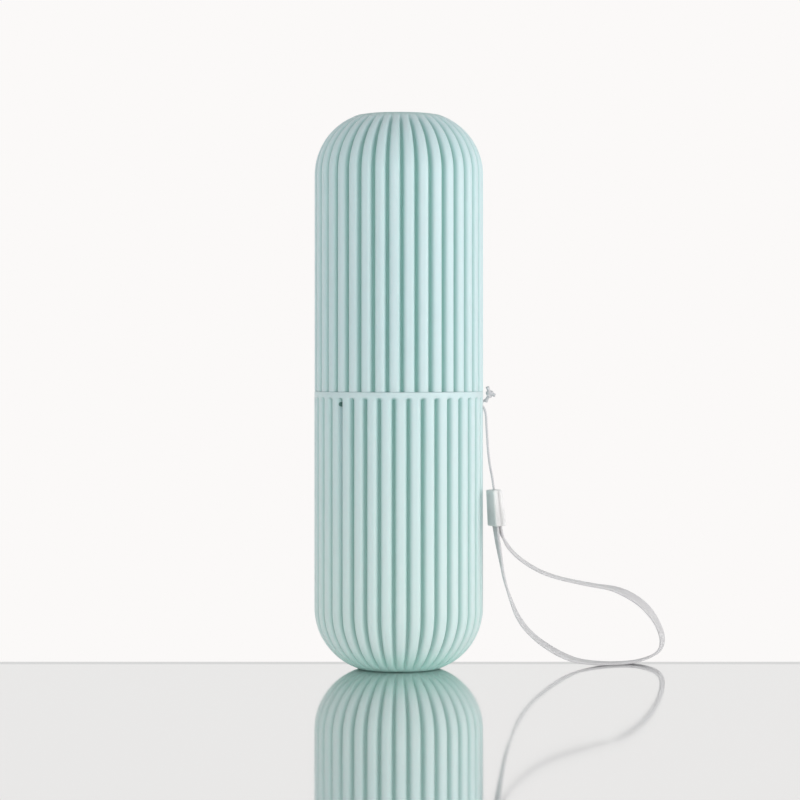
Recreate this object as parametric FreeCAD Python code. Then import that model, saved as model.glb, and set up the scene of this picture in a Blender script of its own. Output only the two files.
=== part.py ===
import FreeCAD, Part
import math
import os

from FreeCAD import Vector

# Toothbrush travel case: two fluted cups that close to a capsule, and a wrist strap tied under the rim.
# Millimetres, +Z up, origin at the centre of the foot, front of the case towards -Y.
# Angles round the case are degrees from the front, growing towards +X.

# Case
case_height = 199.0
case_diameter = 60.6
seam_height = 99.6
dome_height = 21.9
dome_radius = 22.8
dome_bands = 6
rib_count = 36
rib_crown = 0.6
rib_flats = 4
groove_width = 1.7
groove_depth = 2.0
lower_groove_angle = -3.5
upper_groove_angle = 2.1

# Smooth discs at both ends, where the flutes stop
end_disc_radius = 13.0
end_disc_step = 0.35

# Walls, rim and push fit
cover_wall = 1.2
neck_wall = 1.4
end_wall = 2.4
rim_band_height = 1.8
neck_height = 18.0
neck_clearance = 0.3
neck_lead_in = 0.8
grip_pad_count = 4
grip_pad_width = 5.0
grip_pad_height = 3.0
grip_pad_lift = 9.0
grip_pad_clearance = 0.05

# Small holes under the rim, each in a groove: grooves are counted from the one next to the front
rim_hole_diameter = 2.0
rim_hole_drop = 4.3
vent_groove = -4
strap_grooves = (9, 10)

# String: it bends this far outside and inside the wall. Its free points are chosen by hand,
# each at a share of the way down from the holes to the clasp
string_diameter = 0.9
string_flats = 6
string_outer_gap = 0.9
string_inner_gap = 1.2
string_free_points = ((31.6, -2.6, 0.39), (32.3, -3.9, 0.74))
string_clasp_lead = 2.5

# Knot with two cut tails: heights are from the seam
knot_centre = (32.75, 1.7, -1.0)
knot_radius = 1.3
knot_bevel = 0.7
knot_seat = 1.0
tail_tips = ((31.9, 0.9, 1.5), (35.1, 0.6, -1.5))

# Clasp: two shells that close on the string from above and on the ribbon ends from below
clasp_place = (35.1, -6.3)
clasp_turn = 24.0
clasp_lean = 5.2
clasp_base_height = 51.6
clasp_height = 13.0
clasp_width = 7.6
clasp_thickness = 4.2
clasp_taper = 0.85
clasp_edge_radius = 0.6
clasp_slot_depth = 5.8
clasp_string_depth = 4.6
clasp_clearance = 0.2
peg_diameter = 1.3
peg_length = 1.2
peg_spacing = 4.6
peg_clearance = 0.05

# Ribbon: a loop from one clamped end round to the other, part of it lying just above the table.
# Its points are chosen by hand, along the clasp's thickness and at a share of the way up to the clasp
ribbon_width = 5.6
ribbon_thickness = 0.9
ribbon_ply_offset = 0.6
ribbon_table_gap = 0.05
ribbon_loop_points = (
    (-0.5, 0.969), (1.2, 0.79), (3.4, 0.568), (10.1, 0.268), (26.6, 0.055), (40.1, 0), (58.6, 0), (69.0, 0.1),
    (63.6, 0.349), (51.3, 0.516), (34.2, 0.576), (20.1, 0.642), (10.6, 0.738), (4.3, 0.845), (0.8, 0.971))

# Share of the shorter run that a strap bend takes up
bend_share = 0.45

case_radius = case_diameter / 2
rib_pitch = 360.0 / rib_count
cover_bore = case_radius - groove_depth - cover_wall
neck_radius = cover_bore - neck_clearance
cup_bore = neck_radius - neck_wall
rim_hole_height = seam_height - rim_hole_drop
axis = Vector(0, 0, 1)
origin = Vector(0, 0, 0)
clasp_pose = FreeCAD.Rotation(axis, clasp_turn) * FreeCAD.Rotation(Vector(0, 1, 0), -clasp_lean)
clasp_seat = FreeCAD.Placement(Vector(*clasp_place, clasp_base_height), clasp_pose)


def around(radius, angle, height):
    turn = math.radians(angle)
    return Vector(radius * math.sin(turn), -radius * math.cos(turn), height)


def chain(points):
    return [Part.LineSegment(start, end).toShape() for start, end in zip(points, points[1:])]


def revolve(edges):
    return Part.Face(Part.Wire(edges)).revolve(origin, axis, 360)


# Solid with flat sides through closed rings of corners
def flat_sided(rings):
    faces = [Part.Face(Part.makePolygon(ring)) for ring in (rings[0], rings[-1])]
    for upper, lower in zip(rings, rings[1:]):
        for index in range(len(upper) - 1):
            flat = (upper[index], upper[index + 1], lower[index + 1], lower[index], upper[index])
            faces.append(Part.Face(Part.makePolygon(flat)))
    return Part.makeSolid(Part.makeShell(faces))


# Fluted outline at any share of the full size: ribs with a parabolic crown, drawn in flats, between grooves
def fluted_outline(groove_angle, crest_radius, height):
    share = crest_radius / case_radius
    half_groove = math.degrees(groove_width / 2 / (case_radius - rib_crown))
    half_rib = rib_pitch / 2 - half_groove
    points = []
    for index in range(rib_count):
        groove = groove_angle + index * rib_pitch
        points.append(around((case_radius - groove_depth) * share, groove, height))
        for flat in range(rib_flats + 1):
            across = 2 * flat / rib_flats - 1
            radius = case_radius - rib_crown * across ** 2
            points.append(around(radius * share, groove + rib_pitch / 2 + across * half_rib, height))
    return points + points[:1]


# Points down the round of a dome's meridian, from the wall to the given floor, in even bands
def dome_points(wall_radius, corner, floor_height):
    last_turn = math.asin((dome_height - floor_height) / corner)
    turns = [last_turn * band / dome_bands for band in range(dome_bands + 1)]
    return [Vector(wall_radius - corner + corner * math.cos(turn), 0, dome_height - corner * math.sin(turn))
            for turn in turns]


# Solid cup body from its foot to the given height: the flutes narrow with the dome up to the smooth disc
def fluted_body(groove_angle, height):
    meridian = [Vector(case_radius, 0, height)] + dome_points(case_radius, dome_radius, end_disc_step)
    flutes = flat_sided([fluted_outline(groove_angle, point.x, point.z) for point in meridian])
    return flutes.fuse(Part.makeCylinder(end_disc_radius, end_wall))


# Inside of a cup: a straight bore, and a rounded floor with a flat behind each rib
def cavity(groove_angle, bore, mouth_height):
    rings = []
    for point in dome_points(bore, dome_height - end_wall, end_wall):
        angles = [groove_angle + index * rib_pitch for index in range(rib_count + 1)]
        rings.append([around(point.x, angle, point.z) for angle in angles])
    dome = flat_sided(rings)
    barrel = Part.makeCylinder(bore, mouth_height - dome_height, Vector(0, 0, dome_height))
    return barrel.fuse(dome)


# Rim band and neck of the lower cup, turned as one, with low pads on the neck that grip the cover
def rim_and_neck():
    neck_top = seam_height + neck_height
    outline = (
        Vector(0, 0, seam_height - rim_band_height),
        Vector(case_radius, 0, seam_height - rim_band_height),
        Vector(case_radius, 0, seam_height),
        Vector(neck_radius, 0, seam_height),
        Vector(neck_radius, 0, neck_top - neck_lead_in),
        Vector(neck_radius - neck_lead_in / 2, 0, neck_top),
        Vector(0, 0, neck_top),
        Vector(0, 0, seam_height - rim_band_height))
    pad_reach = math.sqrt((cover_bore - grip_pad_clearance) ** 2 - (grip_pad_width / 2) ** 2)
    pad_corner = Vector(0, -grip_pad_width / 2, seam_height + grip_pad_lift)
    pad = Part.makeBox(pad_reach, grip_pad_width, grip_pad_height, pad_corner)
    pads = [pad.rotated(origin, axis, index * 360.0 / grip_pad_count) for index in range(grip_pad_count)]
    return revolve(chain(outline)).fuse(pads)


def rim_hole(groove):
    angle = lower_groove_angle + groove * rib_pitch
    start = around(cup_bore / 2, angle, rim_hole_height)
    end = around(case_radius, angle, rim_hole_height)
    return Part.makeCylinder(rim_hole_diameter / 2, (end - start).Length, start, end - start)


def make_lower_cup():
    body = fluted_body(lower_groove_angle, seam_height - rim_band_height).fuse(rim_and_neck())
    inside = cavity(lower_groove_angle, cup_bore, seam_height + neck_height)
    holes = [rim_hole(groove) for groove in (vent_groove,) + strap_grooves]
    return body.cut([inside] + holes)


# The upper cup is drawn mouth up, like the lower one, and then turned over, which reverses its groove angle
def make_upper_cup():
    height = case_height - seam_height
    cup = fluted_body(-upper_groove_angle, height).cut(cavity(-upper_groove_angle, cover_bore, height))
    cup.rotate(Vector(0, 0, case_height / 2), Vector(1, 0, 0), 180)
    return cup


# A strap piece: its section run along straights joined by tangent arcs, each as wide as its runs allow
def sweep(name, section, points):
    face = Part.Face(section)
    stretches = []
    length = 0

    def straight(run):
        nonlocal face, length
        stretches.append(face.extrude(run))
        face = face.translated(run)
        length += run.Length

    start = points[0]
    for before, corner, after in zip(points, points[1:], points[2:]):
        incoming = (corner - before).normalize()
        outgoing = (after - corner).normalize()
        turn = incoming.getAngle(outgoing)
        run = bend_share * min((corner - before).Length, (after - corner).Length)
        radius = run / math.tan(turn / 2)
        pivot = corner + (outgoing - incoming).normalize() * (radius / math.cos(turn / 2))
        straight(corner - incoming * run - start)
        stretches.append(face.revolve(pivot, incoming.cross(outgoing), math.degrees(turn)))
        face = face.rotated(pivot, incoming.cross(outgoing), math.degrees(turn))
        length += radius * turn
        start = corner + outgoing * run
        print(f"  {name} bend radius {radius:.1f}")
    straight(points[-1] - start)
    solid = stretches[0].fuse(stretches[1:])
    expected = Part.Face(section).Area * length
    print(f"{name}: length {length:.1f}, volume {solid.Volume:.1f}, section times length {expected:.1f}")
    return solid


def strap_hole_bend(groove, radius):
    return around(radius, lower_groove_angle + groove * rib_pitch, rim_hole_height)


def above_seam(place):
    return Vector(0, 0, seam_height) + Vector(*place)


def string_points():
    entry, leave = strap_grooves
    outer_bend = case_radius + string_outer_gap
    inner_bend = cup_bore - string_inner_gap
    knot = above_seam(knot_centre)
    outside = strap_hole_bend(leave, outer_bend)
    start = knot + (outside - knot).normalize() * knot_seat
    inside = [strap_hole_bend(leave, inner_bend), strap_hole_bend(entry, inner_bend)]
    below = strap_hole_bend(entry, outer_bend)
    clasp_bend = clasp_seat.multVec(Vector(0, 0, clasp_height + string_clasp_lead))
    clasp_end = clasp_seat.multVec(Vector(0, 0, clasp_height - clasp_string_depth))
    drop = rim_hole_height - clasp_bend.z
    hanging = [Vector(x, y, rim_hole_height - share * drop) for x, y, share in string_free_points]
    return [start, outside] + inside + [below] + hanging + [clasp_bend, clasp_end]


# The braid's section has flats, like its strands
def braid_section(centre, direction):
    side = direction.cross(axis).normalize() * (string_diameter / 2)
    turn = FreeCAD.Rotation(direction, 360.0 / string_flats)
    corners = [side]
    for flat in range(string_flats):
        corners.append(turn.multVec(corners[-1]))
    return Part.makePolygon([centre + corner for corner in corners[:-1]] + [centre + side])


def make_string():
    points = string_points()
    start, outside = points[:2]
    return sweep("strap_string", braid_section(start, outside - start), points)


# The knot has a flat seat where the string leaves it
def make_knot():
    start, outside = string_points()[:2]
    centre = above_seam(knot_centre)
    lump = Part.makeBox(*[2 * knot_radius] * 3, centre - Vector(1, 1, 1) * knot_radius)
    knot = lump.makeChamfer(knot_bevel, lump.Edges)
    for tip in tail_tips:
        tail = above_seam(tip) - centre
        knot = knot.fuse(Part.Face(braid_section(centre, tail)).extrude(tail))
    seat = Part.makeCylinder(2 * knot_radius, knot_radius, start, outside - start)
    return knot.cut(seat)


# Clasp parts are drawn upright about the clasp's axis, thickness along X and width along Y, then seated
def clasp_outline(share, height):
    x = share * clasp_thickness / 2
    y = share * clasp_width / 2
    corners = [Vector(-x, -y, height), Vector(x, -y, height), Vector(x, y, height), Vector(-x, y, height)]
    return corners + corners[:1]


def clasp_block(x_start):
    block = flat_sided([clasp_outline(clasp_taper, clasp_height), clasp_outline(1, 0)])
    half = Part.makeBox(clasp_thickness / 2, clasp_width, clasp_height, Vector(x_start, -clasp_width / 2, 0))
    slot_thickness = 2 * ribbon_ply_offset + ribbon_thickness + 2 * clasp_clearance
    slot_width = ribbon_width + 2 * clasp_clearance
    slot = Part.makeBox(
        slot_thickness, slot_width, clasp_slot_depth, Vector(-slot_thickness / 2, -slot_width / 2, 0))
    channel_base = Vector(0, 0, clasp_height - clasp_string_depth)
    channel = Part.makeCylinder(string_diameter / 2 + clasp_clearance, clasp_string_depth, channel_base)
    upright_edges = [edge for edge in block.Edges if edge.BoundBox.ZLength > clasp_height / 2]
    return block.makeFillet(clasp_edge_radius, upright_edges).common(half).cut([slot, channel])


def clasp_pegs(radius, length):
    height = clasp_height - clasp_string_depth / 2
    return [Part.makeCylinder(radius, length, Vector(0, side * peg_spacing / 2, height), Vector(1, 0, 0))
            for side in (-1, 1)]


def make_clasp_inner_shell():
    shell = clasp_block(-clasp_thickness / 2).fuse(clasp_pegs(peg_diameter / 2, peg_length))
    return shell.transformed(clasp_seat.toMatrix())


def make_clasp_outer_shell():
    sockets = clasp_pegs(peg_diameter / 2 + peg_clearance, peg_length + peg_clearance)
    return clasp_block(0).cut(sockets).transformed(clasp_seat.toMatrix())


# The ribbon loop lies in the clasp's upright plane, and its width runs across that plane
def make_ribbon():
    turn = math.radians(clasp_turn)
    along = Vector(math.cos(turn), math.sin(turn), 0)
    across = Vector(-math.sin(turn), math.cos(turn), 0)
    start, end = [clasp_seat.multVec(Vector(side * ribbon_ply_offset, 0, clasp_slot_depth))
                  for side in (-1, 1)]
    lying = ribbon_thickness / 2 + ribbon_table_gap
    loop = [Vector(*clasp_place, lying + share * (clasp_base_height - lying)) + along * distance
            for distance, share in ribbon_loop_points]
    points = [start] + loop + [end]
    face_normal = across.cross(loop[0] - start).normalize()
    corners = [start + face_normal * (side * ribbon_thickness / 2) + across * (edge * ribbon_width / 2)
               for side, edge in ((-1, -1), (1, -1), (1, 1), (-1, 1), (-1, -1))]
    return sweep("strap_ribbon", Part.Wire(chain(corners)), points)


def main():
    os.makedirs("parts", exist_ok=True)
    pieces = {
        "lower_cup": make_lower_cup(),
        "upper_cup": make_upper_cup(),
        "strap_string": make_string(),
        "strap_knot": make_knot(),
        "clasp_inner_shell": make_clasp_inner_shell(),
        "clasp_outer_shell": make_clasp_outer_shell(),
        "strap_ribbon": make_ribbon(),
    }
    for name, shape in pieces.items():
        shape.exportStep(f"parts/{name}.step")
        print(f"{name}: {len(shape.Solids)} solid, valid {shape.isValid()}, {shape.Volume / 1000:.2f} cm3")


main()
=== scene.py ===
import math

import bmesh
import bpy
from mathutils import Matrix, Vector


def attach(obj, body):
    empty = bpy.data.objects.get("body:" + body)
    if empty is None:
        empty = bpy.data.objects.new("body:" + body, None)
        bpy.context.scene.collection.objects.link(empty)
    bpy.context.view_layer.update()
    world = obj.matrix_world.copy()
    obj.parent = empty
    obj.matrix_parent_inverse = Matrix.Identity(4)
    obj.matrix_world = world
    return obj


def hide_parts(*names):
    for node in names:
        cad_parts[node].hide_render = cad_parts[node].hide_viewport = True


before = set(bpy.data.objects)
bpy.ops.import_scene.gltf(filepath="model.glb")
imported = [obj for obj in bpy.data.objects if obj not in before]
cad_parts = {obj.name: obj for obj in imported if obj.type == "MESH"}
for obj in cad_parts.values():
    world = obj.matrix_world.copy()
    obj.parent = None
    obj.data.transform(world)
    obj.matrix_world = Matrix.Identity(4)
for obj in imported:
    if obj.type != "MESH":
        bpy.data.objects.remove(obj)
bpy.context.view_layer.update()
scene = bpy.context.scene
scene.view_settings.view_transform = "Standard"
mm = 0.001


# sRGB hex to linear
def hexColor(code):
    channels = [int(code[i:i + 2], 16) / 255 for i in (1, 3, 5)]
    return [c / 12.92 if c <= 0.04045 else ((c + 0.055) / 1.055) ** 2.4 for c in channels] + [1]


# adds a node with its settings, links or sets its inputs, and gives back its first output
def addNode(tree, kind, inputs=None, **settings):
    node = tree.nodes.new(kind)
    for name, value in settings.items():
        setattr(node, name, value)
    for name, value in (inputs or {}).items():
        if isinstance(name, int):
            socket = node.inputs[name]
        else:
            socket = next(s for s in node.inputs if s.name == name and s.enabled)
        if isinstance(value, bpy.types.NodeSocket):
            tree.links.new(value, socket)
        else:
            socket.default_value = value
    return next((s for s in node.outputs if s.enabled), None)


def newMaterial(name, **shader):
    material = bpy.data.materials.new(name)
    material.use_nodes = True
    surface = material.node_tree.nodes["Principled BSDF"]
    for socket, value in shader.items():
        surface.inputs[socket.replace("_", " ")].default_value = value
    return material, material.node_tree, surface


def addObject(name, mesh, material=None):
    piece = bpy.data.objects.new(name, mesh)
    scene.collection.objects.link(piece)
    if material:
        mesh.materials.append(material)
    return piece


def meshFrom(name, vertices, faces, material, smooth=True):
    mesh = bpy.data.meshes.new(name)
    mesh.from_pydata(vertices, [], faces)
    mesh.validate()
    for face in mesh.polygons:
        face.use_smooth = smooth
    return addObject(name, mesh, material)


def objectFrom(name, work, material):
    mesh = bpy.data.meshes.new(name)
    work.to_mesh(mesh)
    work.free()
    return addObject(name, mesh, material)


# what the modifiers give, as a plain mesh
def settle(piece):
    graph = bpy.context.evaluated_depsgraph_get()
    mesh = bpy.data.meshes.new_from_object(piece.evaluated_get(graph), depsgraph=graph)
    piece.modifiers.clear()
    old = piece.data
    piece.data = mesh
    bpy.data.meshes.remove(old)


# cuts a tool out of a piece and takes the tool away
def cutOut(piece, tool):
    cut = piece.modifiers.new("cut", "BOOLEAN")
    cut.operation, cut.solver, cut.object = "DIFFERENCE", "EXACT", tool
    settle(piece)
    bpy.data.objects.remove(tool)


# a round tool along Z, for holes
def drillRod(radius, length):
    rod = bmesh.new()
    bmesh.ops.create_cone(rod, cap_ends=True, segments=24, radius1=radius, radius2=radius, depth=length)
    return rod


# all faces outwards and in the first material
def faceOutwards(mesh):
    work = bmesh.new()
    work.from_mesh(mesh)
    bmesh.ops.recalc_face_normals(work, faces=work.faces)
    if work.calc_volume(signed=True) < 0:
        bmesh.ops.reverse_faces(work, faces=work.faces)
    for face in work.faces:
        face.material_index = 0
    work.to_mesh(mesh)
    work.free()


# from 0 to 1, level at both ends
def ease(t):
    return t * t * (3 - 2 * t)


# camera: level, at the height of the photo's horizon, for a square picture
camera = {
    "place": (0, -1.09, 0.1144), "pixels": 800, "focalPixels": 3033, "horizonPixel": 350, "axisPixel": 398.8,
    "sensor": 36, "clip": (0.05, 20),
}
cameraData = bpy.data.cameras.new("camera")
cameraData.sensor_width = camera["sensor"]
cameraData.lens = camera["focalPixels"] * camera["sensor"] / camera["pixels"]
cameraData.shift_x = (camera["pixels"] / 2 - camera["axisPixel"]) / camera["pixels"]
cameraData.shift_y = (camera["horizonPixel"] - camera["pixels"] / 2) / camera["pixels"]
cameraData.clip_start, cameraData.clip_end = camera["clip"]
cameraObject = bpy.data.objects.new("camera", cameraData)
cameraObject.location = camera["place"]
cameraObject.rotation_euler = (math.pi / 2, 0, 0)
scene.collection.objects.link(cameraObject)
scene.camera = cameraObject
print("camera placed")


# polypropylene, injection moulded in a lightly etched tool: satin, no sparkle, soft highlights along the crests,
# pale on the crests; the deeper green in the grooves, in the holes, at the foot and round the end discs is painted
# shade, and the paler lower half is painted light
mint = {
    # the groove, low groove, foot and hole colours are painted shade, and the low crest colour is painted light
    "crest": ("#c8e0e3", "#d0e5e8"), "lowLitCrest": "#d5e9e5", "groove": "#91c0b9", "lowGrooveShade": "#a6c7c1",
    "foot": "#bce4dc", "hole": "#7fa8a1", "lowest": 20 * mm, "highest": 120 * mm, "lowLightShare": 0.7,
    "footShadeHeight": 12 * mm, "footShadeShare": 0.9, "flow": 14 * mm, "etch": 0.5 * mm, "etchDepth": 0.05 * mm,
}
mintPolypropylene, tree, surface = newMaterial(
    "mintPolypropylene", Roughness=0.42, IOR=1.49, Subsurface_Weight=0.25, Subsurface_Scale=3 * mm,
    Subsurface_Radius=(0.7, 1.0, 0.95))
place = addNode(tree, "ShaderNodeTexCoord").node.outputs["Object"]
height = addNode(tree, "ShaderNodeSeparateXYZ", {0: place}).node.outputs["Z"]
# the mesh's share of painted shade: how deep the groove goes, and the shade of the rows round the end discs
paintedShade = addNode(tree, "ShaderNodeAttribute", attribute_name="paintedShade").node.outputs["Fac"]
holeShadeMask = addNode(tree, "ShaderNodeAttribute", attribute_name="boreShade").node.outputs["Fac"]
# painted light: crests lighter and groove shade lighter towards the bottom
paintedLowLight = addNode(tree, "ShaderNodeMapRange", {
    "Value": height, "From Min": mint["lowest"], "From Max": mint["highest"],
    "To Min": mint["lowLightShare"], "To Max": 0})
# painted green shade near the foot, fading out upwards
footShade = addNode(tree, "ShaderNodeMapRange", {
    "Value": height, "From Min": 0, "From Max": mint["footShadeHeight"], "To Min": mint["footShadeShare"], "To Max": 0},
    interpolation_type="SMOOTHERSTEP")
flow = addNode(tree, "ShaderNodeTexNoise", {"Vector": place, "Scale": 1 / mint["flow"], "Detail": 3})  # melt flow
crest = addNode(tree, "ShaderNodeMix", {
    "Factor": flow, 6: hexColor(mint["crest"][0]), 7: hexColor(mint["crest"][1])}, data_type="RGBA")
# painted light: crests lighter towards the bottom
crest = addNode(tree, "ShaderNodeMix", {
    "Factor": paintedLowLight, 6: crest, 7: hexColor(mint["lowLitCrest"])}, data_type="RGBA")
# painted shade of the grooves, lighter towards the bottom
groove = addNode(tree, "ShaderNodeMix", {
    "Factor": paintedLowLight, 6: hexColor(mint["groove"]), 7: hexColor(mint["lowGrooveShade"])}, data_type="RGBA")
# painted shade: the deeper green groove colour, laid on in the grooves and on the rows round the end discs
tone = addNode(tree, "ShaderNodeMix", {"Factor": paintedShade, 6: crest, 7: groove}, data_type="RGBA")
# painted green shade at the foot
tone = addNode(tree, "ShaderNodeMix", {"Factor": footShade, 6: tone, 7: hexColor(mint["foot"])}, data_type="RGBA")
# painted shade inside the holes: the bore's faces take a dark green
tone = addNode(tree, "ShaderNodeMix", {"Factor": holeShadeMask, 6: tone, 7: hexColor(mint["hole"])}, data_type="RGBA")
tree.links.new(tone, surface.inputs["Base Color"])
etch = addNode(tree, "ShaderNodeTexNoise", {
    "Vector": place, "Scale": 1 / mint["etch"], "Detail": 2})  # drawn coarser than it is, to show
bump = addNode(tree, "ShaderNodeBump", {"Height": etch, "Strength": 0.12, "Distance": mint["etchDepth"]})
tree.links.new(bump, surface.inputs["Normal"])

# nylon string, twisted: matte white yarn with a faint sheen, given a grey base colour that is painted shade
nylonString, tree, surface = newMaterial("nylonString", Roughness=0.7, Sheen_Weight=0.3, Sheen_Roughness=0.4)
place = addNode(tree, "ShaderNodeTexCoord").node.outputs["Object"]
fibre = addNode(tree, "ShaderNodeTexNoise", {"Vector": place, "Scale": 1 / (0.4 * mm), "Detail": 3})
# painted shade: the white yarn coloured light grey all over, with fibre noise
tone = addNode(tree, "ShaderNodeMix", {
    "Factor": fibre, 6: hexColor("#cac9cc"), 7: hexColor("#dcdbdd")}, data_type="RGBA")
tree.links.new(tone, surface.inputs["Base Color"])

# ABS, moulded and lightly polished: even white with a soft gloss
whiteAbs, tree, surface = newMaterial(
    "whiteAbs", Roughness=0.35, IOR=1.53, Subsurface_Weight=0.6, Subsurface_Scale=4 * mm,
    Subsurface_Radius=(1, 1, 1))
place = addNode(tree, "ShaderNodeTexCoord").node.outputs["Object"]
flow = addNode(tree, "ShaderNodeTexNoise", {"Vector": place, "Scale": 1 / (6 * mm), "Detail": 2})  # melt flow
tone = addNode(tree, "ShaderNodeMix", {
    "Factor": flow, 6: hexColor("#ecebea"), 7: hexColor("#f1f0ef")}, data_type="RGBA")
tree.links.new(tone, surface.inputs["Base Color"])

# polyester ribbon, plain woven: weft ridges across, warp ends along, matte with a slight sheen, and thin enough
# that light comes through to its shaded side; its light grey base colour is painted shade on white cloth
ribbonWeave = {"threadAlong": 0.5 * mm, "threadAcross": 0.45 * mm, "relief": 0.05 * mm}
wovenPolyester, tree, surface = newMaterial(
    "wovenPolyester", Roughness=0.75, Sheen_Weight=0.25, Sheen_Roughness=0.5, Subsurface_Weight=1,
    Subsurface_Scale=4 * mm, Subsurface_Radius=(1, 1, 1))
waveTurn = 2 * math.pi / 20  # a wave texture at scale 1 repeats after this length
weaveMap = addNode(tree, "ShaderNodeUVMap", uv_map="weave")
along = addNode(tree, "ShaderNodeTexWave", {
    "Vector": weaveMap, "Scale": waveTurn / ribbonWeave["threadAlong"]}, bands_direction="X").node.outputs["Fac"]
across = addNode(tree, "ShaderNodeTexWave", {
    "Vector": weaveMap, "Scale": waveTurn / ribbonWeave["threadAcross"]}, bands_direction="Y").node.outputs["Fac"]
weave = addNode(tree, "ShaderNodeMath", {0: along, 1: across}, operation="MULTIPLY")
# painted shade: the white cloth coloured light grey all over, with the weave's two tones
tone = addNode(tree, "ShaderNodeMix", {
    "Factor": weave, 6: hexColor("#c2c0c2"), 7: hexColor("#c9c7c8")}, data_type="RGBA")
tree.links.new(tone, surface.inputs["Base Color"])
bump = addNode(tree, "ShaderNodeBump", {"Height": weave, "Strength": 0.05, "Distance": ribbonWeave["relief"]})
tree.links.new(bump, surface.inputs["Normal"])
print("materials made")


# the case: angles from the front towards +X, in degrees
case = {
    "height": 199 * mm, "radius": 30.3 * mm, "seam": 99.6 * mm, "domeHeight": 21.9 * mm, "domeRadius": 22.8 * mm,
    "discRadius": 13 * mm, "footStep": 0.12 * mm, "topStep": 0.35 * mm, "ledge": 0.15 * mm,
    "discRound": 0.8,  # share of the step
    "ribs": 36, "columnsPerRib": 16, "grooveDepth": 2.0 * mm, "lowerGroove": -3.5, "upperGroove": 2.1,
    "band": 1.8 * mm, "groovesEnd": 1.1 * mm, "edgeRound": 0.3 * mm, "endWall": 2.4 * mm,
    "neckRadius": 26.8 * mm, "neckHeight": 18 * mm, "cupBore": 25.4 * mm, "coverBore": 27.1 * mm,
    "domeRows": 24, "fadeRows": 4, "bandRows": 8, "insideRows": 12,
    "coverRows": (60 * mm, 40 * mm, 20 * mm, 8 * mm, 2 * mm),  # rows of faces, up from the cover's mouth
    "boreRows": (1.2 * mm, 0.4 * mm),  # rows that keep the ends of the bore crisp
    # half a rib from its crest to the middle of the groove: place, share of the depth
    "ribSection": ((0, 0), (0.3, 0.02), (0.5, 0.09), (0.62, 0.2), (0.72, 0.43), (0.82, 0.78), (0.91, 0.96), (1, 1)),
    # row by row from the middle of the end: the disc's step and the bare ring round it gather shade
    "endShade": (0, 0, 0, 0, 0.8, 0.8, 0.8, 0.6, 0.4, 0.2),
    # corners in millimetres outwards and up, from the neck's foot, its top, and the two cups' mouths
    "neckFoot": ((0.4, 0), (0.1, 0.1), (0, 0.4)),
    "neckTop": ((0, -1.2), (0, -0.8), (-0.3, -0.12), (-0.5, 0)),
    "cupMouth": ((0.3, 0), (0.08, -0.08), (0, -0.3)),
    "coverMouth": ((0.4, 0), (0.1, -0.1), (0, -0.4)),
}

# Geometry Nodes: sweeps a meridian round the axis and presses the grooves into it
flutes = bpy.data.node_groups.new("flutedCup", "GeometryNodeTree")
for name, kind in (("Meridian", "Geometry"), ("Ribs", "Int"), ("Columns per rib", "Int"), ("Groove angle", "Float"),
                   ("Groove depth", "Float"), ("Material", "Material")):
    flutes.interface.new_socket(name=name, in_out="INPUT", socket_type="NodeSocket" + kind)
flutes.interface.new_socket(name="Geometry", in_out="OUTPUT", socket_type="NodeSocketGeometry")
given = flutes.nodes.new("NodeGroupInput").outputs

# a flat grid, one row for each point of the meridian
rows = addNode(flutes, "GeometryNodeAttributeDomainSize", {"Geometry": given["Meridian"]})
rowSpan = addNode(flutes, "ShaderNodeMath", {0: rows, 1: 1}, operation="SUBTRACT")
columns = addNode(flutes, "ShaderNodeMath", {0: given["Ribs"], 1: given["Columns per rib"]}, operation="MULTIPLY")
columnCount = addNode(flutes, "ShaderNodeMath", {0: columns, 1: 1}, operation="ADD")
grid = addNode(flutes, "GeometryNodeMeshGrid", {
    "Size X": columns, "Size Y": rowSpan, "Vertices X": columnCount, "Vertices Y": rows})
place = addNode(flutes, "GeometryNodeInputPosition")
flat = addNode(flutes, "ShaderNodeSeparateXYZ", {0: place}).node.outputs
column = addNode(flutes, "ShaderNodeMath", {0: columns, 1: 0.5, 2: flat["X"]}, operation="MULTIPLY_ADD")
rowPlace = addNode(flutes, "ShaderNodeMath", {0: rowSpan, 1: 0.5, 2: flat["Y"]}, operation="MULTIPLY_ADD")
row = addNode(flutes, "ShaderNodeMath", {0: rowPlace}, operation="ROUND")

# what the meridian holds at this row
point = addNode(flutes, "GeometryNodeSampleIndex", {
    "Geometry": given["Meridian"], "Value": place, "Index": row}, data_type="FLOAT_VECTOR")
atRow = {}
for name, kind in (("outward", "FLOAT_VECTOR"), ("groove", "FLOAT"), ("shade", "FLOAT")):
    stored = addNode(flutes, "GeometryNodeInputNamedAttribute", {"Name": name}, data_type=kind)
    atRow[name] = addNode(flutes, "GeometryNodeSampleIndex", {
        "Geometry": given["Meridian"], "Value": stored, "Index": row}, data_type=kind)

# the angle round the axis, with columns that crowd towards the grooves
ribPlace = addNode(flutes, "ShaderNodeMath", {0: column, 1: given["Columns per rib"]}, operation="DIVIDE")
ribSafe = addNode(flutes, "ShaderNodeMath", {0: ribPlace, 1: 0.0001}, operation="ADD")  # past rounding errors
ribIndex = addNode(flutes, "ShaderNodeMath", {0: ribSafe}, operation="FLOOR")
inRib = addNode(flutes, "ShaderNodeMath", {0: ribPlace, 1: ribIndex}, operation="SUBTRACT")
ribTurn = addNode(flutes, "ShaderNodeMath", {0: inRib, 1: math.pi, 2: -math.pi / 2}, operation="MULTIPLY_ADD")
acrossRib = addNode(flutes, "ShaderNodeMath", {0: ribTurn}, operation="SINE")
fromGroove = addNode(flutes, "ShaderNodeMath", {0: acrossRib, 1: 0.5, 2: 0.5}, operation="MULTIPLY_ADD")
ribsPassed = addNode(flutes, "ShaderNodeMath", {0: ribIndex, 1: fromGroove}, operation="ADD")
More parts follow.
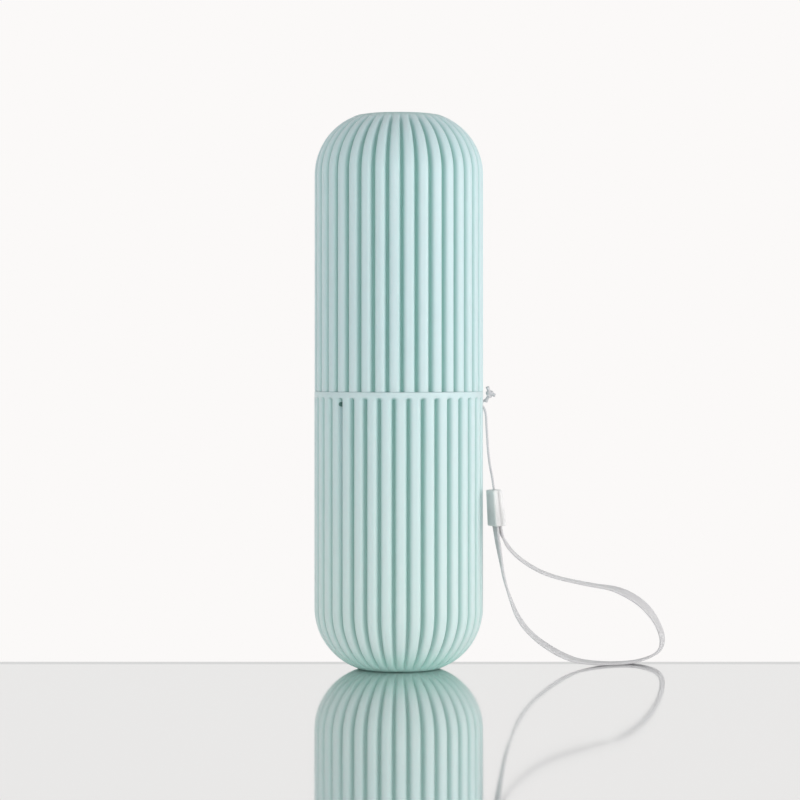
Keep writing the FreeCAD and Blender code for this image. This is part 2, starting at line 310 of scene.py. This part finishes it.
pitch = addNode(flutes, "ShaderNodeMath", {0: 2 * math.pi, 1: given["Ribs"]}, operation="DIVIDE")
angle = addNode(flutes, "ShaderNodeMath", {
    0: ribsPassed, 1: pitch, 2: given["Groove angle"]}, operation="MULTIPLY_ADD")
sine = addNode(flutes, "ShaderNodeMath", {0: angle}, operation="SINE")
cosine = addNode(flutes, "ShaderNodeMath", {0: angle}, operation="COSINE")

# how far the groove goes in here, kept with the shade of the end rows for the material's painted shade
fromCrest = addNode(flutes, "ShaderNodeMath", {0: acrossRib}, operation="ABSOLUTE")
section = addNode(flutes, "ShaderNodeFloatCurve", {"Value": fromCrest})
for x, y in case["ribSection"][1:-1]:
    section.node.mapping.curves[0].points.new(x, y)
section.node.mapping.update()
sunk = addNode(flutes, "ShaderNodeMath", {0: section, 1: atRow["groove"]}, operation="MULTIPLY")
paintedShadeLevel = addNode(flutes, "ShaderNodeMath", {0: sunk, 1: atRow["shade"]}, operation="MAXIMUM")
marked = addNode(flutes, "GeometryNodeStoreNamedAttribute", {
    "Geometry": grid, "Name": "paintedShade", "Value": paintedShadeLevel}, data_type="FLOAT", domain="POINT")
press = addNode(flutes, "ShaderNodeMath", {0: sunk, 1: given["Groove depth"]}, operation="MULTIPLY")
back = addNode(flutes, "ShaderNodeVectorMath", {0: atRow["outward"], "Scale": press}, operation="SCALE")
pressed = addNode(flutes, "ShaderNodeVectorMath", {0: point, 1: back}, operation="SUBTRACT")

# bent round the axis and closed
meridian = addNode(flutes, "ShaderNodeSeparateXYZ", {0: pressed}).node.outputs
sideways = addNode(flutes, "ShaderNodeMath", {0: meridian["X"], 1: sine}, operation="MULTIPLY")
forward = addNode(flutes, "ShaderNodeMath", {0: meridian["X"], 1: cosine}, operation="MULTIPLY")
towardsFront = addNode(flutes, "ShaderNodeMath", {0: forward, 1: -1}, operation="MULTIPLY")
target = addNode(flutes, "ShaderNodeCombineXYZ", {"X": sideways, "Y": towardsFront, "Z": meridian["Z"]})
shaped = addNode(flutes, "GeometryNodeSetPosition", {"Geometry": marked, "Position": target})
closed = addNode(flutes, "GeometryNodeMergeByDistance", {"Geometry": shaped, "Distance": 0.002 * mm})
smooth = addNode(flutes, "GeometryNodeSetShadeSmooth", {"Geometry": closed})
real = addNode(flutes, "GeometryNodeRealizeInstances", {"Geometry": smooth})
painted = addNode(flutes, "GeometryNodeSetMaterial", {"Geometry": real, "Material": given["Material"]})
flutes.links.new(painted, flutes.nodes.new("NodeGroupOutput").inputs["Geometry"])


# the case's table of corners, set at a radius and a height
def cornersAt(radius, height, table):
    return [(radius + x * mm, height + z * mm) for x, z in case[table]]


# one cup's meridian, drawn mouth up: (radius, height, groove share, outward radius, outward height)
def cupMeridian(bore, isLower):
    r, disc, corner = case["radius"], case["discRadius"], case["domeRadius"]
    base, edge = case["domeHeight"], case["edgeRound"]
    mouth = case["seam"] if isLower else case["height"] - case["seam"]
    discStep = case["footStep"] if isLower else case["topStep"]
    discRound = case["discRound"] * discStep
    end = [(0, 0), (disc / 2, 0), (disc - discRound, 0)]
    end += [(disc - discRound + discRound * math.sin(a), discRound - discRound * math.cos(a))
            for a in (0.5, 1.0, math.pi / 2)]
    end += [(disc + case["ledge"], discStep)]

    outside = []
    lastTurn = math.asin((base - discStep) / corner)
    for step in range(case["domeRows"] + 1):
        a = lastTurn * (1 - step / case["domeRows"])
        crest = r - corner + corner * math.cos(a)
        rise = min(1, max(0, step - 1) / case["fadeRows"])  # grooves fade out before the disc
        outside.append((crest, base - corner * math.sin(a), rise * crest / r, math.cos(a), -math.sin(a)))
    if isLower:
        for step in range(case["bandRows"] + 1):
            t = step / case["bandRows"]
            outside.append((r, mouth - case["band"] - case["groovesEnd"] * (1 - t), 1 - ease(t), 1, 0))
    else:
        outside += [(r, mouth - lift, 1, 1, 0) for lift in case["coverRows"]]
    outside += [(r - edge + edge * math.cos(a), mouth - edge + edge * math.sin(a), 0 if isLower else 1, 1, 0)
                for a in (0, 0.4, 0.8, 1.2, math.pi / 2)]

    if isLower:
        top = mouth + case["neckHeight"]
        inside = cornersAt(case["neckRadius"], mouth, "neckFoot") + cornersAt(case["neckRadius"], top, "neckTop")
        inside += cornersAt(bore, top, "cupMouth")
    else:
        top = mouth
        inside = cornersAt(bore, top, "coverMouth")
    inside += [(bore, top - case["boreRows"][0]), (bore, base + case["boreRows"][1])]
    corner = base - case["endWall"]
    for step in range(case["insideRows"] + 1):
        a = math.pi / 2 * step / case["insideRows"]
        inside.append((bore - corner + corner * math.cos(a), base - corner * math.sin(a)))
    inside.append((0, case["endWall"]))
    return [(*p, 0, 1, 0) for p in end] + outside + [(*p, 0, 1, 0) for p in inside]


def makeCup(name, node, body, bore, grooveAngle, isLower):
    points = cupMeridian(bore, isLower)
    if not isLower:
        points = [(r, case["height"] - z, share, outR, -outZ) for r, z, share, outR, outZ in points]
    mesh = bpy.data.meshes.new(name)
    mesh.from_pydata([(p[0], 0, p[1]) for p in points], [(i, i + 1) for i in range(len(points) - 1)], [])
    for attribute, kind in (("groove", "FLOAT"), ("shade", "FLOAT"), ("outward", "FLOAT_VECTOR")):
        mesh.attributes.new(attribute, kind, "POINT")
    for index, (_, _, share, outR, outZ) in enumerate(points):
        mesh.attributes["groove"].data[index].value = share
        mesh.attributes["outward"].data[index].vector = (outR, 0, outZ)
    for index, shade in enumerate(case["endShade"]):
        mesh.attributes["shade"].data[index].value = shade
    cup = addObject(name, mesh)
    modifier = cup.modifiers.new("flutes", "NODES")
    modifier.node_group = flutes
    settings = {
        "Ribs": case["ribs"], "Columns per rib": case["columnsPerRib"], "Groove angle": math.radians(grooveAngle),
        "Groove depth": case["grooveDepth"], "Material": mintPolypropylene}
    for item in flutes.interface.items_tree:
        if item.in_out == "INPUT" and item.name in settings:
            modifier[item.identifier] = settings[item.name]
    settle(cup)
    cup.data.materials.clear()  # leaves no empty slot before the plastic
    cup.data.materials.append(mintPolypropylene)
    faceOutwards(cup.data)
    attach(cup, body)
    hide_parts(node)
    print(name, len(cup.data.polygons), "faces")
    return cup


lowerCup = makeCup("lowerCup", "lower_cup", "lower_case", case["cupBore"], case["lowerGroove"], True)

# four low pads on the neck that grip the cover
gripPad = {
    "count": 4, "width": 5 * mm, "height": 3 * mm, "lift": 9 * mm, "inside": 26.2 * mm, "outside": 26.9 * mm,
    "round": 0.15 * mm,
}
work = bmesh.new()
work.from_mesh(lowerCup.data)
middle = Matrix.Translation(((gripPad["inside"] + gripPad["outside"]) / 2, 0,
                             case["seam"] + gripPad["lift"] + gripPad["height"] / 2))
stretch = Matrix.Diagonal((gripPad["outside"] - gripPad["inside"], gripPad["width"], gripPad["height"], 1))
for index in range(gripPad["count"]):
    pad = bmesh.ops.create_cube(work, size=1)["verts"]
    turn = Matrix.Rotation(2 * math.pi * index / gripPad["count"], 4, "Z")
    bmesh.ops.transform(work, matrix=turn @ middle @ stretch, verts=pad)
    edges = list(dict.fromkeys(edge for v in pad for edge in v.link_edges))  # each once, in order
    bmesh.ops.bevel(work, geom=edges, offset=gripPad["round"], segments=2, profile=0.5, affect="EDGES")
work.to_mesh(lowerCup.data)
work.free()

makeCup("upperCup", "upper_cup", "cover", case["coverBore"], case["upperGroove"], False)

# three small holes under the rim, each in a groove: a vent at the front left and a pair for the string
rimHoles = {"grooves": (-4, 9, 10), "height": 95.3 * mm, "radius": 1.0 * mm, "drill": 20 * mm, "middle": 30 * mm}
for index in rimHoles["grooves"]:
    rod = drillRod(rimHoles["radius"], rimHoles["drill"])
    turn = math.radians(case["lowerGroove"] + 360 / case["ribs"] * index)
    move = Matrix.Translation((rimHoles["middle"] * math.sin(turn), -rimHoles["middle"] * math.cos(turn),
                               rimHoles["height"]))
    rod.transform(move @ Matrix.Rotation(turn, 4, "Z") @ Matrix.Rotation(math.pi / 2, 4, "X"))
    drill = objectFrom("drill", rod, mintPolypropylene)
    # marks the bore's faces for the painted shade inside the holes
    for mark in drill.data.attributes.new("boreShade", "FLOAT", "FACE").data:
        mark.value = 1
    cutOut(lowerCup, drill)
print("rim holes cut")


# points along a smooth line that the route's points steer
def routeLine(name, route, resolution):
    curve = bpy.data.curves.new(name, "CURVE")
    curve.dimensions = "3D"
    spline = curve.splines.new("NURBS")
    spline.points.add(len(route) - 1)
    for point, place in zip(spline.points, route):
        point.co = (*place, 1)
    spline.order_u = 3
    spline.use_endpoint_u = True
    spline.resolution_u = resolution
    line = bpy.data.objects.new(name, curve)
    scene.collection.objects.link(line)
    graph = bpy.context.evaluated_depsgraph_get()
    mesh = bpy.data.meshes.new_from_object(line.evaluated_get(graph), depsgraph=graph)
    points = [v.co.copy() for v in mesh.vertices]
    bpy.data.meshes.remove(mesh)
    bpy.data.objects.remove(line)
    return points


# the length of the line up to each of its points
def lineRuns(points):
    runs = [0]
    for a, b in zip(points, points[1:]):
        runs.append(runs[-1] + (b - a).length)
    return runs


def lineLength(points):
    return lineRuns(points)[-1]


# a tangent and two sides at each point, turned as little as possible from one to the next
def lineFrames(points):
    frames = []
    side = None
    for index in range(len(points)):
        ahead = points[min(index + 1, len(points) - 1)] - points[max(index - 1, 0)]
        tangent = ahead.normalized()
        if side is None:
            side = tangent.orthogonal()
        side = (side - tangent * side.dot(tangent)).normalized()
        frames.append((tangent, side.copy(), tangent.cross(side)))
    return frames


# a tube's rings and faces along given points, closed at both ends, with its radius as a function of the way along
def addTube(vertices, faces, points, radiusAt, sides):
    first, last = len(vertices), len(points) - 1
    for index, (point, (_, side, up)) in enumerate(zip(points, lineFrames(points))):
        for k in range(sides):
            a = 2 * math.pi * k / sides
            vertices.append(point + (side * math.cos(a) + up * math.sin(a)) * radiusAt(index / last))
    for index in range(last):
        for k in range(sides):
            a, b = first + index * sides + k, first + index * sides + (k + 1) % sides
            faces.append((a, b, b + sides, a + sides))
    faces.append(tuple(first + k for k in reversed(range(sides))))
    faces.append(tuple(first + last * sides + k for k in range(sides)))


# string: three twisted plies along the route, from the knot through both holes and down to the clasp
string = {
    "diameter": 0.9 * mm, "plies": 3, "plyShare": 0.6, "twist": 2.6 * mm, "sides": 10, "resolution": 24,
    "route": ((32.329, 2.14, 97.807), (30.999, 3.532, 95.3), (24.044, 2.74, 95.3), (24.155, -1.477, 95.3),
              (31.142, -1.905, 95.3), (31.6, -2.6, 84.277), (32.3, -3.9, 74.385), (33.817, -6.871, 67.036),
              (34.405, -6.61, 59.965)),
}
stringLine = routeLine("stringLine", [Vector(p) * mm for p in string["route"]], string["resolution"])
vertices, faces = [], []
plyRadius = string["diameter"] / 2 * string["plyShare"]
plyOffset = string["diameter"] / 2 - plyRadius
for ply in range(string["plies"]):
    plyPoints = []
    for point, run, (_, side, up) in zip(stringLine, lineRuns(stringLine), lineFrames(stringLine)):
        a = 2 * math.pi * (run / string["twist"] + ply / string["plies"])
        plyPoints.append(point + (side * math.cos(a) + up * math.sin(a)) * plyOffset)
    addTube(vertices, faces, plyPoints, lambda t: plyRadius, string["sides"])
strapString = meshFrom("strapString", vertices, faces, nylonString)
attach(strapString, "lower_case")
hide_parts("strap_string")
print("string", round(lineLength(stringLine), 4), "m")


# knot: an overhand turn of the same string, pulled tight, with two cut tails and a neck that goes into the hole
knot = {
    "centre": (32.75, 1.7, 98.6), "size": 0.26 * mm, "depth": 1.6, "start": 0.35, "gap": 0.3, "steps": 90,
    "turnRadius": 0.74 * mm, "endRadius": 0.6 * mm, "flare": 0.25, "flareFrom": 0.6, "sides": 10, "resolution": 8,
    "tails": (((32.6, 1.5, 99.4), (32.2, 1.2, 100.3), (31.9, 0.9, 101.1)),
              ((33.4, 1.4, 98.5), (34.0, 1.1, 98.3), (34.6, 0.9, 98.1))),
    "neck": ((32.5, 1.5, 98.0), (31.9, 2.1, 97.1), (31.4, 2.9, 95.9)),
}


def knotEndRadius(t):
    return knot["endRadius"] * (1 + knot["flare"] * max(0, t - knot["flareFrom"]))


vertices, faces = [], []
knotCentre = Vector(knot["centre"]) * mm
turns = []
for step in range(knot["steps"]):
    t = knot["start"] + (2 * math.pi - knot["gap"]) * step / (knot["steps"] - 1)
    loop = Vector((math.sin(t) + 2 * math.sin(2 * t), -knot["depth"] * math.sin(3 * t),
                   math.cos(t) - 2 * math.cos(2 * t)))
    turns.append(knotCentre + loop * knot["size"])
addTube(vertices, faces, turns, lambda t: knot["turnRadius"], knot["sides"])
for end in (*knot["tails"], knot["neck"]):
    points = routeLine("knotEnd", [knotCentre] + [Vector(p) * mm for p in end], knot["resolution"])
    addTube(vertices, faces, points, knotEndRadius, knot["sides"])
strapKnot = meshFrom("strapKnot", vertices, faces, nylonString)
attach(strapKnot, "lower_case")
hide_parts("strap_knot")
print("knot tied")


# clasp: two moulded shells that meet in the middle, drawn upright and then turned to their place
clasp = {
    "place": (35.1 * mm, -6.3 * mm), "turn": 24, "lean": 5.2, "base": 51.6 * mm, "height": 13 * mm,
    "width": 7.6 * mm, "thickness": 4.2 * mm, "taper": 0.85, "round": 0.6 * mm, "seam": 0.05 * mm,
    "slot": (2.5 * mm, 6.0 * mm, 5.8 * mm), "channel": 0.65 * mm, "channelDepth": 4.6 * mm, "creaseAngle": 35,
}
claspPlace = Matrix.Translation((*clasp["place"], clasp["base"]))
claspPlace = claspPlace @ Matrix.Rotation(math.radians(clasp["turn"]), 4, "Z")
claspPlace = claspPlace @ Matrix.Rotation(math.radians(-clasp["lean"]), 4, "Y")


# the edges in the plane where the shells meet
def partingEdges(work):
    return [e for e in work.edges if all(abs(v.co.x) < 0.001 * mm for v in e.verts)]


def claspShell(name, node, side):
    work = bmesh.new()
    bmesh.ops.create_cube(work, size=1)
    for v in work.verts:
        inner = v.co.x * side < 0
        v.co.x = 0 if inner else side * clasp["thickness"] / 2
        v.co.y *= clasp["width"]
        v.co.z = (v.co.z + 0.5) * clasp["height"]
    parting = partingEdges(work)
    outer = [e for e in work.edges if e not in parting]
    bmesh.ops.bevel(work, geom=outer, offset=clasp["round"], segments=5, profile=0.5, affect="EDGES")
    bmesh.ops.bevel(work, geom=partingEdges(work), offset=clasp["seam"], segments=2, profile=0.5, affect="EDGES")
    shell = objectFrom(name, work, whiteAbs)
    slot = bmesh.new()
    bmesh.ops.create_cube(slot, size=1)
    slot.transform(Matrix.Diagonal((*clasp["slot"][:2], 2 * clasp["slot"][2], 1)))
    cutOut(shell, objectFrom("slot", slot, whiteAbs))
    channel = drillRod(clasp["channel"], 2 * clasp["channelDepth"])
    channel.transform(Matrix.Translation((0, 0, clasp["height"])))
    cutOut(shell, objectFrom("channel", channel, whiteAbs))
    for v in shell.data.vertices:
        narrow = 1 - (1 - clasp["taper"]) * v.co.z / clasp["height"]
        v.co.x, v.co.y = v.co.x * narrow, v.co.y * narrow
    shell.data.transform(claspPlace)
    for face in shell.data.polygons:
        face.use_smooth = True
    shell.data.set_sharp_from_angle(angle=math.radians(clasp["creaseAngle"]))
    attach(shell, "lower_case")
    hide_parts(node)
    return shell


claspInner = claspShell("claspInnerShell", "clasp_inner_shell", -1)
claspOuter = claspShell("claspOuterShell", "clasp_outer_shell", 1)
print("clasp closed")


# ribbon: one flat loop in the clasp's upright plane, both ends in the clasp, turning on itself along the way
ribbon = {
    "width": 5.6 * mm, "thickness": 0.9 * mm, "resolution": 14,
    # millimetres out from the clasp and up from the table
    "route": ((-0.5, 50.0), (1.2, 40.9), (3.4, 29.5), (10.1, 14.2), (26.6, 3.3), (40.1, 0.5), (58.6, 0.5),
              (69.0, 5.6), (63.6, 18.3), (51.3, 26.9), (34.2, 29.9), (20.1, 33.3), (10.6, 38.2), (4.3, 43.7),
              (0.8, 50.1)),
    "ends": ((34.074, -6.757, 57.322), (35.166, -6.271, 57.431)),
    # share of the length, degrees that the ribbon's width is turned from the depth of the picture
    "turns": ((0, 24), (0.05, 12), (0.12, 2), (0.22, -12), (0.32, -22), (0.42, -22), (0.5, -14), (0.57, -20),
              (0.62, -28), (0.67, -32), (0.73, -18), (0.8, -8), (0.93, -6), (0.97, 10), (1, 24)),
    # one face from edge to edge, in shares of the width and thickness: flat, with a corded edge on each side
    "face": ((-0.5, 0.25), (-0.48, 0.42), (-0.44, 0.5), (-0.38, 0.48), (-0.3, 0.45), (-0.1, 0.45), (0.1, 0.45),
             (0.3, 0.45), (0.38, 0.48), (0.44, 0.5), (0.48, 0.42), (0.5, 0.25)),
}
claspTurn = math.radians(clasp["turn"])
outFromClasp = Vector((math.cos(claspTurn), math.sin(claspTurn), 0))
claspFoot = Vector((*clasp["place"], 0))
ribbonRoute = [claspFoot + outFromClasp * (s * mm) + Vector((0, 0, h * mm)) for s, h in ribbon["route"]]
ribbonStart, ribbonEnd = [Vector(end) * mm for end in ribbon["ends"]]
ribbonLine = routeLine("ribbonLine", [ribbonStart] + ribbonRoute + [ribbonEnd], ribbon["resolution"])
ribbonSection = [(side * x, side * t) for side in (1, -1) for x, t in ribbon["face"]]


def ribbonTurn(share):
    for (start, a), (end, b) in zip(ribbon["turns"], ribbon["turns"][1:]):
        if share <= end:
            return math.radians(a + (b - a) * ease((share - start) / (end - start)))
    return math.radians(ribbon["turns"][-1][1])


vertices, faces, weaveUv = [], [], []
count = len(ribbonSection)
ribbonLength = lineLength(ribbonLine)
for point, run, (ahead, _, _) in zip(ribbonLine, lineRuns(ribbonLine), lineFrames(ribbonLine)):
    turn = ribbonTurn(run / ribbonLength)
    across = Vector((-math.sin(turn), math.cos(turn), 0))
    across = (across - ahead * across.dot(ahead)).normalized()
    normal = across.cross(ahead)
    for x, t in ribbonSection:
        vertices.append(point + across * (x * ribbon["width"]) + normal * (t * ribbon["thickness"]))
        weaveUv.append((run, x * ribbon["width"]))
for index in range(len(ribbonLine) - 1):
    for k in range(count):
        a, b = index * count + k, index * count + (k + 1) % count
        faces.append((a, a + count, b + count, b))
faces.append(tuple(range(count)))
faces.append(tuple(reversed(range(len(vertices) - count, len(vertices)))))
strapRibbon = meshFrom("strapRibbon", vertices, faces, wovenPolyester)
weaveLayer = strapRibbon.data.uv_layers.new(name="weave")
for loop in strapRibbon.data.loops:
    weaveLayer.data[loop.index].uv = weaveUv[loop.vertex_index]
faceOutwards(strapRibbon.data)
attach(strapRibbon, "lower_case")
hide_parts("strap_ribbon")
print("ribbon", round(lineLength(ribbonLine), 4), "m")


# table: a polished pale sheet that ends a little behind the case, with painted shade on a strip along its far edge,
# as a darker mirror colour
table = {
    "half": 1.5, "backEdge": 23 * mm, "edgeWidth": 9 * mm, "sheet": "#f2f1f2", "floor": "#eeefef",
    "shadedEdgeStrip": "#dadcdc", "mirrorShare": 0.9, "mirrorRoughness": 0.06,
}
half, stripFront = table["half"], table["backEdge"] - table["edgeWidth"]
# the far strip's darker mirror colour is painted shade
for name, front, back in (("floor", -half, stripFront), ("shadedEdgeStrip", stripFront, table["backEdge"])):
    polishedAcrylic, tree, surface = newMaterial(name + "Acrylic", Roughness=0.04, IOR=1.49)
    surface.inputs["Base Color"].default_value = hexColor(table["sheet"])
    mirror = addNode(tree, "ShaderNodeBsdfGlossy", {
        "Color": hexColor(table[name]), "Roughness": table["mirrorRoughness"]})
    mixed = addNode(tree, "ShaderNodeMixShader", {0: table["mirrorShare"], 1: surface.outputs[0], 2: mirror})
    tree.links.new(mixed, tree.nodes["Material Output"].inputs["Surface"])
    corners = [(-half, front, 0), (half, front, 0), (half, back, 0), (-half, back, 0)]
    meshFrom(name, corners, [(0, 1, 2, 3)], polishedAcrylic, smooth=False)

# white surroundings for the camera, mirrors and glass, and plain soft light for the rest
studio = {"white": "#fbf9f8", "softLight": 0.4}
world = bpy.data.worlds.new("studio")
scene.world = world
world.use_nodes = True
tree = world.node_tree
ray = addNode(tree, "ShaderNodeLightPath").node.outputs
seen = addNode(tree, "ShaderNodeMath", {0: ray["Is Camera Ray"], 1: ray["Is Glossy Ray"]}, operation="MAXIMUM")
seen = addNode(tree, "ShaderNodeMath", {0: seen, 1: ray["Is Transmission Ray"]}, operation="MAXIMUM")
soft = addNode(tree, "ShaderNodeBackground", {"Color": (1, 1, 1, 1), "Strength": studio["softLight"]})
white = addNode(tree, "ShaderNodeBackground", {"Color": hexColor(studio["white"]), "Strength": 1.0})
both = addNode(tree, "ShaderNodeMixShader", {0: seen, 1: soft, 2: white})
tree.links.new(both, tree.nodes["World Output"].inputs["Surface"])

# square lamps: place, height that they aim at on the axis, side in metres, watts
lamps = {
    "rightPanel": ((1.0, -0.6, 0.2), 0.09, 0.6, 4.6),
    "sidePanel": ((1.0, 0.2, 0.25), 0.1, 0.6, 1.5),
    "frontFill": ((0.1, -1.35, 0.25), 0.1, 0.6, 4.0),
    "leftFill": ((-0.9, -0.4, 0.3), 0.1, 0.7, 1.0),
    "backFill": ((-0.85, 0.85, 0.25), 0.1, 0.6, 2.0),
}
for name, (lampPlace, aimHeight, size, power) in lamps.items():
    lamp = bpy.data.lights.new(name, "AREA")
    lamp.shape, lamp.size, lamp.energy = "SQUARE", size, power
    lampObject = bpy.data.objects.new(name, lamp)
    lampObject.location = lampPlace
    lampObject.visible_glossy = name != "backFill"  # keeps its square out of the polished table
    aim = Vector((0, 0, aimHeight)) - Vector(lampPlace)
    lampObject.rotation_euler = aim.to_track_quat("-Z", "Y").to_euler()
    scene.collection.objects.link(lampObject)
print("stage lit")
